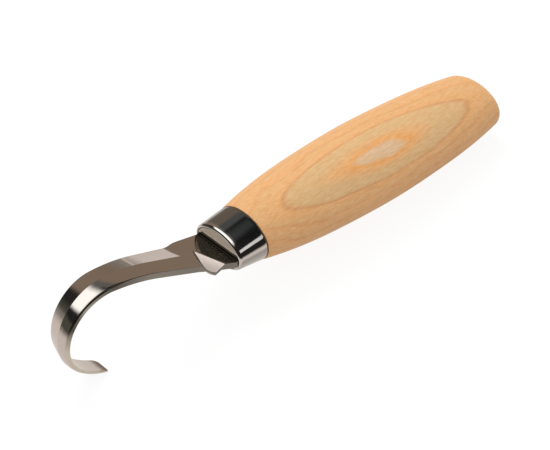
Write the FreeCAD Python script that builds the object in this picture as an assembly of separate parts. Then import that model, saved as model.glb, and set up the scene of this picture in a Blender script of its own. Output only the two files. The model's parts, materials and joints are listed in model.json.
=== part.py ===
"""Hook knife for hollowing spoons and bowls: a bent steel blade, a drawn ferrule and a barrel handle.

Working frame while the pieces are made: the handle's long axis is X, the ferrule's front face is at
X = 0, the blade points along +X, the hook curls down to -Z and the cutting edge is on the -Y side.
At the end the whole knife is tipped about Y so that the hook and the handle both touch Z = 0, and the
origin is set under the middle of its bounding box. All sizes are millimetres and degrees.
"""

import FreeCAD, Part
import math
import os

# ---- blade strip -------------------------------------------------------------------------------
strip_thickness = 2.0
blade_drop = 0.7            # the tang's mid plane lies this far below the handle's axis
neck_rise = 21.1            # upward tilt of the straight neck, from the handle's axis
neck_run = 28.0             # straight neck, along its inner face
sweep_radius = 56.0         # gentle bend that leads into the hook, inner face
sweep_angle = 16.0
hook_radius = 13.9          # the hook itself, inner face
hook_angle = 138.0
tip_radius = 28.0           # the last stretch opens out again
tip_angle = 23.5
neck_width = 16.3           # width that the taper starts from, where the neck leaves the ferrule
hook_end_width = 6.0        # width that the taper would reach at the tip
tip_corner = 2.2            # the edge is rounded into the squared-off end over this length
tip_corner_side = 1.8       # and over this width
tip_thickness = 0.8         # the hook thins towards its tip
ridge_side = 0.7            # the ground bevel starts this far on the spine side of the middle
edge_land = 0.12            # thickness left at the cutting edge

# ---- blade root --------------------------------------------------------------------------------
root_width = 17.6           # at the ferrule
bend_reach = 0.86           # the root bends up this far in front of the ferrule's lip
corner_reach = 7.9          # corner of the pressed shoulder, from the ferrule
corner_side = 8.2
near_taper_reach = 13.0     # where the near edge reaches the strip's own width
far_corner_reach = 10.6     # corner where the far edge turns in to the grind
far_corner_side = -6.8
run_out_reach = 13.6        # the far edge has come down to the cutting edge here
ridge_reach = 14.5          # the grind runs out at the ridge here
bevel_start = 13.2          # along the strip, hidden under the root
press_reach = 8.7           # point of the press mark on the root's upper face
press_side = -1.25
press_rear_reach = 4.3      # its rear crease leaves the near edge here
press_rear_side = 8.5
press_front_reach = 12.5    # its front crease leaves the near edge here
press_front_side = 7.6
press_ear_reach = 7.85      # lowest corner of the pressed shoulder
press_ear_side = 8.3
press_ear_height = 0.35
press_metal = 1.0           # metal left under the press mark, measured straight down
tang_width = 12.0
tang_end_width = 8.0
tang_length = 46.0

# ---- ferrule -----------------------------------------------------------------------------------
ferrule_length = 10.0
ferrule_rear_width = 21.2
ferrule_rear_depth = 15.6
ferrule_front_width = 19.9
ferrule_front_depth = 12.5
ferrule_wall = 0.8
ferrule_front_wall = 1.0
lip_radius = 1.1
lip_height = 0.4            # how far the lip stands in front of the face
lip_band = 1.0              # width of the lip, from the outside to the face

# ---- handle ------------------------------------------------------------------------------------
handle_length = 100.5       # wood that shows behind the ferrule
collar_width = 21.4         # wood at the ferrule
collar_depth = 15.7
shoulder_width = 27.7       # a sixth of the way back
shoulder_depth = 20.2
waist_width = 30.6          # a third of the way back
waist_depth = 21.9
belly_width = 31.8          # half way back
belly_depth = 22.3
hip_width = 30.8
hip_depth = 21.0
heel_width = 28.1
heel_depth = 18.8
butt_width = 22.4
butt_depth = 14.6
butt_dome = 60.0            # radius of the turned end
butt_flat = 0.15            # depth that is faced off the dome
butt_round = 3.2
collar_chamfer = 0.35

# ---- fits --------------------------------------------------------------------------------------
slot_gap = 0.3              # ferrule slot round the blade's root, above and below
slot_end_gap = 0.15
tenon_gap = 0.15            # wood tenon inside the ferrule
bedding_gap = 0.9           # adhesive round the tang

# ---- worked out from the sizes above ---------------------------------------------------------------
tang_top = strip_thickness / 2.0 - blade_drop
tang_bottom = tang_top - strip_thickness
neck_slope = math.radians(neck_rise)
mitre = strip_thickness * math.tan(neck_slope / 2.0)
bends = ((sweep_radius, sweep_angle), (hook_radius, hook_angle), (tip_radius, tip_angle))
bend_lengths = [radius * math.radians(angle) for radius, angle in bends]
strip_length = neck_run + sum(bend_lengths)
face_reach = -lip_height    # the ferrule's face is set back behind its lip
face_back = face_reach - ferrule_front_wall
SIDES = 2.0                 # a width or a depth has two halves
PAST = 3.0                  # a cutting block reaches this many times past what it cuts
EPS = 0.001
ORIGIN = FreeCAD.Vector(0.0, 0.0, 0.0)
Y_AXIS = FreeCAD.Vector(0.0, 1.0, 0.0)


def vec(x, y, z):
    return FreeCAD.Vector(x, y, z)


def prism(outline, direction):
    """Solid from a closed list of points, pushed along a direction."""
    wire = Part.makePolygon(outline + [outline[0]])
    return Part.Face(wire).extrude(direction)


def arc_point(x, z, heading, radius, turn):
    """Next point and heading after an arc that turns downwards."""
    after = heading - turn
    x_next = x + radius * (math.sin(heading) - math.sin(after))
    z_next = z - radius * (math.cos(heading) - math.cos(after))
    return x_next, z_next, after


def inner_station(s):
    """Point and heading of the strip's inner face, s along it from the bend at the root."""
    x = bend_reach + min(s, neck_run) * math.cos(neck_slope)
    z = tang_bottom + min(s, neck_run) * math.sin(neck_slope)
    heading = neck_slope
    left = s - neck_run
    for radius, angle in bends:
        if left <= 0.0:
            break
        turn = min(left / radius, math.radians(angle))
        x, z, heading = arc_point(x, z, heading, radius, turn)
        left -= radius * math.radians(angle)
    return x, z, heading


def taper_width(s):
    """Width of the strip before the tip is shaped."""
    return neck_width + (hook_end_width - neck_width) * s / strip_length


def edge_side(s):
    """Y of the cutting edge, which is rounded into the end of the strip."""
    into_tip = min(1.0, max(0.0, (s - (strip_length - tip_corner)) / tip_corner))
    return tip_corner_side * (1.0 - math.sqrt(1.0 - into_tip**2)) - taper_width(s) / SIDES


def thickness(s):
    """Full thickness up to the hook, then thinner towards the tip."""
    hook_start = neck_run + bend_lengths[0]
    into_hook = max(0.0, (s - hook_start) / (strip_length - hook_start))
    return strip_thickness - (strip_thickness - tip_thickness) * into_hook**2


def strip_section(s):
    """Closed five-sided section of the ground strip, square to the inner face."""
    x, z, heading = inner_station(s)
    out = vec(-math.sin(heading), 0.0, math.cos(heading))
    foot = vec(x, 0.0, z)
    spine = taper_width(s) / SIDES
    edge = edge_side(s)
    ridge = edge + (spine - edge) * (ridge_side + taper_width(s) / SIDES) / taper_width(s)
    corners = [
        (0.0, spine),
        (0.0, edge),
        (edge_land, edge),
        (thickness(s), ridge),
        (thickness(s), spine),
    ]
    points = [foot + out * up + vec(0.0, y, 0.0) for up, y in corners]
    return Part.makePolygon(points + [points[0]])


def spread(first, last, count):
    """Evenly spaced values, both ends included."""
    return [first + (last - first) * i / (count - 1) for i in range(count)]


def make_strip():
    """The ground strip: straight neck, gentle sweep, hook and curved tip."""
    hook_start = neck_run + bend_lengths[0]
    hook_end = hook_start + bend_lengths[1]
    tip_start = strip_length - tip_corner
    spans = [
        [bevel_start, neck_run],
        spread(neck_run, hook_start, 5),
        spread(hook_start, hook_end, 13),
        spread(hook_end, tip_start, 4),
        [tip_start + tip_corner * math.sin(a) for a in spread(0.0, math.pi / 2.0, 7)],
    ]
    lofts = [Part.makeLoft([strip_section(s) for s in span], True, False) for span in spans]
    return lofts[0].multiFuse(lofts[1:])


def root_profile():
    """Side view of the unground root: flat in the slot, then bent up to the neck's tilt."""
    run = ridge_reach + strip_thickness
    up = vec(-math.sin(neck_slope), 0.0, math.cos(neck_slope)) * strip_thickness
    along = vec(math.cos(neck_slope), 0.0, math.sin(neck_slope))
    bend = vec(bend_reach, 0.0, tang_bottom)
    outline = [
        vec(face_back, 0.0, tang_bottom),
        bend,
        bend + along * run,
        bend + along * run + up,
        vec(bend_reach - mitre, 0.0, tang_top),
        vec(face_back, 0.0, tang_top),
    ]
    moved = [p - vec(0.0, root_width, 0.0) for p in outline]
    return prism(moved, vec(0.0, SIDES * root_width, 0.0))


def on_root(reach, side):
    """Point of the root's upper face."""
    climb = (reach - bend_reach + mitre) * math.tan(neck_slope)
    return vec(reach, side, tang_top + climb)


def run_out_end():
    """Point where the far edge has come down to the cutting edge."""
    s = (run_out_reach - bend_reach) / math.cos(neck_slope)
    x, z, heading = inner_station(s)
    return vec(x, edge_side(s), z + edge_land)


def root_plan():
    """Outline of the root seen from above, pushed through the whole height."""
    half_root = root_width / SIDES
    near = taper_width(near_taper_reach) / SIDES
    low = -hook_radius
    outline = [
        vec(face_back, half_root, low),
        vec(0.0, half_root, low),
        vec(corner_reach, corner_side, low),
        vec(near_taper_reach, near, low),
        vec(ridge_reach, taper_width(ridge_reach) / SIDES, low),
        vec(ridge_reach, ridge_side, low),
        vec(run_out_reach, run_out_end().y, low),
        vec(far_corner_reach, far_corner_side, low),
        vec(0.0, -half_root, low),
        vec(face_back, -half_root, low),
    ]
    return prism(outline, vec(0.0, 0.0, SIDES * hook_radius))


def press_wedge(drop):
    """Wedge that presses the near shoulder down; its point is on the root's upper face."""
    point = on_root(press_reach, press_side)
    rear = on_root(press_rear_reach, press_rear_side) - point
    front = on_root(press_front_reach, press_front_side) - point
    valley = vec(press_ear_reach, press_ear_side, press_ear_height) - point
    start = point - valley - vec(0.0, 0.0, drop)
    return prism([start, start + rear * PAST, start + front * PAST], valley * PAST)


def run_out_cut():
    """What the grind's run-out takes off the root: everything above one sloping face."""
    corner = on_root(far_corner_reach, far_corner_side)
    ridge = on_root(ridge_reach, ridge_side)
    across = ridge - corner
    down = run_out_end() - corner
    start = corner - across
    face = [start, start + across * PAST, start + across * PAST + down * PAST, start + down * PAST]
    return prism(face, vec(0.0, 0.0, hook_radius))


def make_root():
    """Full-thickness root with its ground run-out and its pressed near shoulder."""
    plan = root_plan()
    plate = root_profile().common(plan).cut(run_out_cut())
    lump = press_wedge(press_metal).common(plan)
    slab = root_profile().translated(vec(0.0, 0.0, -strip_thickness)).common(lump)
    return plate.fuse(slab).cut(press_wedge(0.0))


def make_tang():
    """Flat tang that runs back into the wood and narrows to its end."""
    half = tang_width / SIDES
    half_end = tang_end_width / SIDES
    outline = [
        vec(face_back, half, tang_bottom),
        vec(face_back, -half, tang_bottom),
        vec(-tang_length, -half_end, tang_bottom),
        vec(-tang_length, half_end, tang_bottom),
    ]
    return prism(outline, vec(0.0, 0.0, strip_thickness))


def make_blade():
    """Strip, root and tang: one piece of bent and ground steel."""
    return make_strip().multiFuse([make_root(), make_tang()]).removeSplitter()


def oval(x, width, depth):
    """Elliptical wire square to the handle's axis."""
    major = max(width, depth) / SIDES
    minor = min(width, depth) / SIDES
    curve = Part.Ellipse(vec(0.0, 0.0, 0.0), major, minor)
    wire = Part.Wire([curve.toShape()])
    if width >= depth:
        turn = FreeCAD.Matrix(0, 0, 1, x, 1, 0, 0, 0, 0, 1, 0, 0, 0, 0, 0, 1)
    else:
        turn = FreeCAD.Matrix(0, 0, 1, x, 0, -1, 0, 0, 1, 0, 0, 0, 0, 0, 0, 1)
    wire.transformShape(turn)
    return wire


def slot_block(front, back, gap, end_gap, width, end_width):
    """Space round the tang or the root: the steel's own section, larger by the gaps."""
    bottom = tang_bottom - gap
    outline = [
        vec(front, width / SIDES + end_gap, bottom),
        vec(front, -width / SIDES - end_gap, bottom),
        vec(back, -end_width / SIDES - end_gap, bottom),
        vec(back, end_width / SIDES + end_gap, bottom),
    ]
    return prism(outline, vec(0.0, 0.0, strip_thickness + SIDES * gap))


def tang_pocket():
    """Slot in the wood, from the tenon's front to just past the tang's end."""
    front = face_back - tenon_gap
    back = -tang_length - bedding_gap
    return slot_block(front, back, bedding_gap, bedding_gap, tang_width, tang_end_width)


def ferrule_side(x):
    """Outer width and depth of the ferrule's tapered wall at x."""
    back = -x / ferrule_length
    width = ferrule_front_width + (ferrule_rear_width - ferrule_front_width) * back
    depth = ferrule_front_depth + (ferrule_rear_depth - ferrule_front_depth) * back
    return width, depth


def make_ferrule():
    """Drawn oval cup with a rounded lip, a face set back inside it and a slot for the blade."""
    outer = Part.makeLoft(
        [oval(x, *ferrule_side(x)) for x in (0.0, -ferrule_length)], True, True
    )
    lip_edges = [e for e in outer.Edges if abs(e.BoundBox.XMin) < EPS and e.BoundBox.XLength < EPS]
    outer = outer.makeFillet(lip_radius, lip_edges)
    hollow = []
    for x in (face_back, -ferrule_length - ferrule_wall):
        width, depth = ferrule_side(x)
        hollow.append(oval(x, width - SIDES * ferrule_wall, depth - SIDES * ferrule_wall))
    face = []
    for x in (face_reach, ferrule_wall):
        width, depth = ferrule_side(0.0)
        flare = SIDES * (x - face_reach)
        face.append(oval(x, width - SIDES * lip_band + flare, depth - SIDES * lip_band + flare))
    slot = slot_block(ferrule_wall, face_back - ferrule_wall, slot_gap, slot_end_gap, root_width, root_width)
    cup = outer.cut(Part.makeLoft(hollow, True, True))
    return cup.cut(Part.makeLoft(face, True, True)).cut(slot)


def barrel():
    """The turned barrel, from the ferrule's rear rim to the domed butt."""
    widths = [collar_width, shoulder_width, waist_width, belly_width, hip_width, heel_width, butt_width]
    depths = [collar_depth, shoulder_depth, waist_depth, belly_depth, hip_depth, heel_depth, butt_depth]
    stations = spread(-ferrule_length, -ferrule_length - handle_length, len(widths))
    wood = Part.makeLoft([oval(*place) for place in zip(stations, widths, depths)], True, False)
    end = -ferrule_length - handle_length
    dome = Part.makeSphere(butt_dome, vec(end + butt_dome - butt_flat, 0.0, 0.0))
    reach = Part.makeBox(handle_length + butt_dome, SIDES * belly_width, SIDES * belly_width)
    reach.translate(vec(end, -belly_width, -belly_width))
    return wood.common(dome.fuse(reach.translated(vec(handle_length / SIDES, 0.0, 0.0)))).common(reach)


def make_handle():
    """Wooden barrel with a tenon for the ferrule and a slot for the tang."""
    wood = barrel()
    end = -ferrule_length - handle_length
    rim = [e for e in wood.Edges if e.BoundBox.XMax < end + butt_round and e.BoundBox.YLength > butt_depth]
    wood = wood.makeFillet(butt_round, rim)
    front = -ferrule_length - EPS
    collar = [e for e in wood.Edges if e.BoundBox.XMin > front and e.BoundBox.YLength > collar_depth]
    wood = wood.makeChamfer(collar_chamfer, collar)
    tenon = []
    for x in (face_back - tenon_gap, -ferrule_length - ferrule_wall):
        width, depth = ferrule_side(x)
        less = SIDES * (ferrule_wall + tenon_gap)
        tenon.append(oval(x, width - less, depth - less))
    wood = wood.fuse(Part.makeLoft(tenon, True, True))
    return wood.cut(tang_pocket())


def make_bedding(blade):
    """Adhesive that fills the handle's slot round the tang."""
    return tang_pocket().cut(blade)


def resting_tilt(pieces):
    """Angle about Y that brings the hook and the handle down to the same level."""
    low = 0.0
    high = math.radians(neck_rise)
    for _ in range(24):
        middle = (low + high) / 2.0
        floors = []
        for piece in pieces:
            turned = piece.copy()
            turned.rotate(ORIGIN, Y_AXIS, -math.degrees(middle))
            floors.append(turned.optimalBoundingBox(False, False).ZMin)
        if floors[0] < floors[1]:
            low = middle
        else:
            high = middle
    return math.degrees((low + high) / 2.0)


def main():
    blade = make_blade()
    handle = make_handle()
    pieces = {
        "blade": blade,
        "ferrule": make_ferrule(),
        "handle": handle,
        "tang_bedding": make_bedding(blade),
    }
    tilt = resting_tilt([blade, handle])
    for piece in pieces.values():
        piece.rotate(ORIGIN, Y_AXIS, -tilt)
    box = Part.makeCompound(list(pieces.values())).optimalBoundingBox(False, False)
    shift = vec(-box.Center.x, -box.Center.y, -box.ZMin)
    os.makedirs("parts", exist_ok=True)
    for name, piece in pieces.items():
        piece.translate(shift)
        print(name, "solids", len(piece.Solids), "valid", piece.isValid(), "volume", round(piece.Volume, 1))
        piece.Solids[0].exportStep("parts/" + name + ".step")
    print("tilt", round(tilt, 4), "ferrule lip at", shift)
    print("length", round(box.XLength, 2), "width", round(box.YLength, 2), "height", round(box.ZLength, 2))


if __name__ == "__main__":
    main()
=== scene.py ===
"""Looks of a hook knife: bent and ground blade, plated ferrule, turned birch handle, set adhesive."""
import json
import logging
import math
from dataclasses import dataclass
from enum import Enum
from typing import Callable, Iterable, Sequence

import bmesh
import bpy
from mathutils import Matrix, Vector


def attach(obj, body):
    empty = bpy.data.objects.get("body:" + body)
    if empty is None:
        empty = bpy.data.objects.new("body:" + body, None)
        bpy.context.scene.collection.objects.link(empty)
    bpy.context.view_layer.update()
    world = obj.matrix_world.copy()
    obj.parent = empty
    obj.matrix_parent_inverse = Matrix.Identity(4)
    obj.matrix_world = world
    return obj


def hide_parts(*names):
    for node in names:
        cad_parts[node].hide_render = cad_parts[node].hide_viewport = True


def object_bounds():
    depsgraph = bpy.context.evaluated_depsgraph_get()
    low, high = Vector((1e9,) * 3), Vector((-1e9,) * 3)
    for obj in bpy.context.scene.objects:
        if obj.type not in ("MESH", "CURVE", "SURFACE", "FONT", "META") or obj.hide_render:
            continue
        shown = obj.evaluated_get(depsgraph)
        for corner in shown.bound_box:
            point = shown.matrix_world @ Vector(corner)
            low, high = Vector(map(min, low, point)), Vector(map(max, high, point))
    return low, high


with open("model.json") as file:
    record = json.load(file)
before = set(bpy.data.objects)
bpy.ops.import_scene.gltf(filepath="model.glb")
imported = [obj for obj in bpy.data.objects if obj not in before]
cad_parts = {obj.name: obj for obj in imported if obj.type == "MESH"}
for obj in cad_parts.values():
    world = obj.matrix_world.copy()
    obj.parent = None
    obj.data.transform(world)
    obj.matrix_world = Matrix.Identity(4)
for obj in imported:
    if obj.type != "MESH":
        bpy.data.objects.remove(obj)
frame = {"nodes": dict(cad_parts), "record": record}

CAD_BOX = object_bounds()
LOG = logging.getLogger("hook_knife")
MM = 0.001
BUMP_DEPTH = 0.0001
Colour = tuple[float, float, float]
Point = tuple[float, float, float]
Scale = tuple[float, float]


def clamp(value: float, low: float = 0.0, high: float = 1.0) -> float:
    """The value, held between low and high."""
    return max(low, min(high, value))


def ease(value: float) -> float:
    """Smooth step from 0 to 1 of a value that goes from 0 to 1."""
    held = clamp(value)
    return held * held * (3.0 - 2.0 * held)


def blend(start: float, end: float, share: float) -> float:
    """Start at share 0 and end at share 1."""
    return start + (end - start) * share


def soft_min(one: float, other: float, rounding: float) -> float:
    """Lesser of two heights, with the corner between them rounded."""
    near = clamp((rounding - abs(one - other)) / rounding)
    return min(one, other) - near * near * rounding / 4.0


def steps(first: float, last: float, gap: float) -> list[float]:
    """Evenly spaced values from first up to but not including last.

    Args:
        first: the first value.
        last: the value to stop short of.
        gap: the widest space between two values.

    Returns:
        The values in order.
    """
    count = max(1, math.ceil(abs(last - first) / gap))
    return [first + (last - first) * i / count for i in range(count)]


def between(corners: Sequence[tuple[float, float]], at: float) -> float:
    """Height at one place on a line through corner points.

    Args:
        corners: places and heights, in order of place.
        at: the place asked for.

    Returns:
        The height, held at the ends.
    """
    if at <= corners[0][0]:
        return corners[0][1]
    for (x0, y0), (x1, y1) in zip(corners, corners[1:]):
        if at <= x1:
            return blend(y0, y1, (at - x0) / (x1 - x0))
    return corners[-1][1]


def through(heights: Sequence[float], count: int) -> list[float]:
    """Values of a smooth line through evenly spaced heights.

    Args:
        heights: the heights that the line passes through.
        count: how many values are wanted, both ends included.

    Returns:
        The values, evenly spaced.
    """
    last = len(heights) - 1
    bends = [0.0] * (last + 1)
    for _ in range(60):
        for i in range(1, last):
            turn = 6.0 * (heights[i - 1] - 2.0 * heights[i] + heights[i + 1])
            bends[i] = (turn - bends[i - 1] - bends[i + 1]) / 4.0
        bends[0], bends[last] = bends[1], bends[last - 1]
    values = []
    for step in range(count):
        at = last * step / (count - 1)
        i = min(int(at), last - 1)
        b, a = at - i, 1.0 - at + i
        curve = (a**3 - a) * bends[i] + (b**3 - b) * bends[i + 1]
        values.append(a * heights[i] + b * heights[i + 1] + curve / 6.0)
    return values


class Region(Enum):
    """Parts of the blade's skin that are finished differently."""

    BEVEL = "bevel"
    PRESSED = "pressed"
    SIDE = "side"


@dataclass(frozen=True)
class KnifeFrame:
    """The knife's own axes, in millimetres, as they lie in the shared frame.

    X runs along the handle towards the blade, Z is up and the ferrule's lip is at X = 0.
    """

    lip: Vector
    along: Vector
    up: Vector

    @classmethod
    def from_record(cls, record: dict, lip_to_butt: float) -> "KnifeFrame":
        """Finds the axes from the faced spot on the handle's end.

        Args:
            record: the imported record, which holds the spot's place and direction.
            lip_to_butt: distance from the ferrule's lip to that spot, in millimetres.

        Returns:
            The knife's frame.
        """
        butt = next(m for m in record["mounts"] if m["name"] == "butt_face")
        along = -Vector(butt["axis"]).normalized()
        up = Vector((-along.z, 0.0, along.x))
        return cls(Vector(butt["pos_m"]) + along * lip_to_butt * MM, along, up)

    @property
    def tilt(self) -> float:
        """Angle that the front of the knife is raised by, in radians."""
        return math.atan2(self.along.z, self.along.x)

    def turn(self, direction: Sequence[float]) -> Vector:
        """A direction in the knife's axes as one in the shared frame."""
        x, y, z = direction
        return self.along * x + Vector((0.0, y, 0.0)) + self.up * z

    def place(self, point: Sequence[float]) -> Vector:
        """A point in the knife's millimetres as one in the shared frame's metres."""
        return self.lip + self.turn(point) * MM

    @property
    def matrix(self) -> Matrix:
        """Matrix that does what place does."""
        columns = [self.along * MM, Vector((0.0, MM, 0.0)), self.up * MM, self.lip]
        rows = [[column[i] for column in columns] for i in range(3)]
        return Matrix(rows + [[0.0, 0.0, 0.0, 1.0]])


def operation(name: str, swapped: bool = False) -> Callable[..., "Value"]:
    """A method of Value that makes one Math node.

    Args:
        name: the node's operation.
        swapped: whether the other value comes first.

    Returns:
        The method.
    """

    def made(self: "Value", *others: "Value | float") -> "Value":
        """Result of the operation."""
        values = (*others, self) if swapped else (self, *others)
        return self.net.math(name, *values)

    return made


class Value:
    """One value socket of a node tree, usable in Python arithmetic."""

    def __init__(self, net: "Net", socket: bpy.types.NodeSocket) -> None:
        """Keeps the tree and the socket."""
        self.net = net
        self.socket = socket

    __add__ = __radd__ = operation("ADD")
    __mul__ = __rmul__ = operation("MULTIPLY")
    __sub__ = operation("SUBTRACT")
    __rsub__ = operation("SUBTRACT", swapped=True)
    __truediv__ = operation("DIVIDE")
    __pow__ = operation("POWER")
    __abs__ = operation("ABSOLUTE")
    sine = operation("SINE")
    cosine = operation("COSINE")
    root = operation("SQRT")
    part = operation("FRACT")
    at_least = operation("MAXIMUM")
    at_most = operation("MINIMUM")

    def held(self) -> "Value":
        """This value, held between 0 and 1."""
        return self.at_least(0.0).at_most(1.0)

    def smooth(self, low: float, high: float) -> "Value":
        """Smooth step: 0 at low and 1 at high, which may be the lesser."""
        settings = {"interpolation_type": "SMOOTHSTEP"}
        sockets = {"Value": self, "From Min": low, "From Max": high}
        return Value(self.net, self.net.node("ShaderNodeMapRange", settings, sockets).outputs[0])


Place = tuple[Value, Value, Value]


class Net:
    """Makes the nodes and links of one tree."""

    def __init__(self, tree: bpy.types.NodeTree) -> None:
        """Empties the tree and keeps it."""
        tree.nodes.clear()
        self.tree = tree

    def node(self, kind: str, settings: dict | None = None, sockets: dict | None = None) -> bpy.types.Node:
        """Makes one node.

        Args:
            kind: the node's type.
            settings: its properties; "stops" fills a ramp and "points" a curve.
            sockets: what its inputs hold or are linked to, by name or number.

        Returns:
            The node.
        """
        made = self.tree.nodes.new(kind)
        for name, value in (settings or {}).items():
            if name == "stops":
                self._fill_ramp(made.color_ramp, value)
            elif name == "points":
                self._fill_curve(made.mapping, value)
            else:
                setattr(made, name, value)
        for key, value in (sockets or {}).items():
            self.feed(made.inputs[key], value)
        return made

    def feed(self, socket: bpy.types.NodeSocket, value: object) -> None:
        """Links a socket to another, or sets what it holds."""
        if isinstance(value, Value):
            self.tree.links.new(value.socket, socket)
        elif isinstance(value, bpy.types.NodeSocket):
            self.tree.links.new(value, socket)
        elif isinstance(value, tuple) and len(value) == 3 and socket.type == "RGBA":
            socket.default_value = (*value, 1.0)
        else:
            socket.default_value = value

    @staticmethod
    def _fill_ramp(ramp: bpy.types.ColorRamp, stops: Sequence[tuple[float, Colour]]) -> None:
        """Gives a ramp its stops."""
        while len(ramp.elements) < len(stops):
            ramp.elements.new(0.5)
        for element, (place, colour) in zip(ramp.elements, stops):
            element.position = place
            element.color = (*colour, 1.0)

    @staticmethod
    def _fill_curve(mapping: bpy.types.CurveMapping, points: Sequence[tuple[float, float]]) -> None:
        """Gives a float curve its points."""
        curve = mapping.curves[0]
        while len(curve.points) < len(points):
            curve.points.new(0.5, 0.5)
        for point, (x, y) in zip(curve.points, points):
            point.location = (x, y)
        mapping.update()

    def math(self, operation: str, *values: "Value | float") -> Value:
        """Result of one Math node."""
        made = self.node("ShaderNodeMath", {"operation": operation}, dict(enumerate(values)))
        return Value(self, made.outputs[0])

    def ramp(self, stops: Sequence[tuple[float, Colour]], at: Value) -> bpy.types.NodeSocket:
        """Colour of a ramp at one place."""
        return self.node("ShaderNodeValToRGB", {"stops": stops}, {0: at}).outputs[0]

    def split(self, vector: bpy.types.NodeSocket) -> Place:
        """The three parts of a vector."""
        made = self.node("ShaderNodeSeparateXYZ", None, {0: vector})
        return Value(self, made.outputs[0]), Value(self, made.outputs[1]), Value(self, made.outputs[2])

    def join(self, x: "Value | float", y: "Value | float", z: "Value | float") -> bpy.types.NodeSocket:
        """A vector from three parts."""
        return self.node("ShaderNodeCombineXYZ", None, {0: x, 1: y, 2: z}).outputs[0]

    def noise(
        self, vector: bpy.types.NodeSocket, scale: float, detail: float = 2.0, rough: float = 0.5
    ) -> Value:
        """Noise between 0 and 1 at a place.

        Args:
            vector: the place.
            scale: how many lumps fit in one unit.
            detail: how many finer layers are added.
            rough: how strong the finer layers are.

        Returns:
            The noise value.
        """
        sockets = {"Vector": vector, "Scale": scale, "Detail": detail, "Roughness": rough}
        return Value(self, self.node("ShaderNodeTexNoise", None, sockets).outputs[0])

    def fibre(self, place: Place, scale: Scale, detail: float, rough: float = 0.5) -> Value:
        """Noise that is drawn out along the first axis.

        Args:
            place: the three parts of the place.
            scale: lumps in one unit, along the first axis and across it.
            detail: how many finer layers are added.
            rough: how strong the finer layers are.

        Returns:
            The noise value.
        """
        along, across = scale
        x, y, z = place
        return self.noise(self.join(x * along, y * across, z * across), 1.0, detail, rough)

    def mix(
        self, share: "Value | float", first: object, second: object, how: str = "MIX"
    ) -> bpy.types.NodeSocket:
        """Mixes two colours.

        Args:
            share: 0 for the first and 1 for the second.
            first: a colour or a colour socket.
            second: a colour or a colour socket.
            how: the way that they are mixed.

        Returns:
            The mixed colour's socket.
        """
        settings = {"data_type": "RGBA", "blend_type": how}
        return self.node("ShaderNodeMix", settings, {0: share, 6: first, 7: second}).outputs[2]

    def surface(self, sockets: dict) -> None:
        """Makes the main shader with its inputs, and the output."""
        shader = self.node("ShaderNodeBsdfPrincipled", None, sockets)
        self.node("ShaderNodeOutputMaterial", None, {"Surface": shader.outputs[0]})

    def bump(self, strength: float, height: Value, depth: float = BUMP_DEPTH) -> bpy.types.NodeSocket:
        """A normal that is tipped by a height."""
        sockets = {"Strength": strength, "Distance": depth, "Height": height}
        return self.node("ShaderNodeBump", None, sockets).outputs[0]


def own_material(name: str) -> tuple[bpy.types.Material, Net]:
    """A new material and the maker of its nodes."""
    material = bpy.data.materials.new(name)
    material.use_nodes = True
    return material, Net(material.node_tree)


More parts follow.
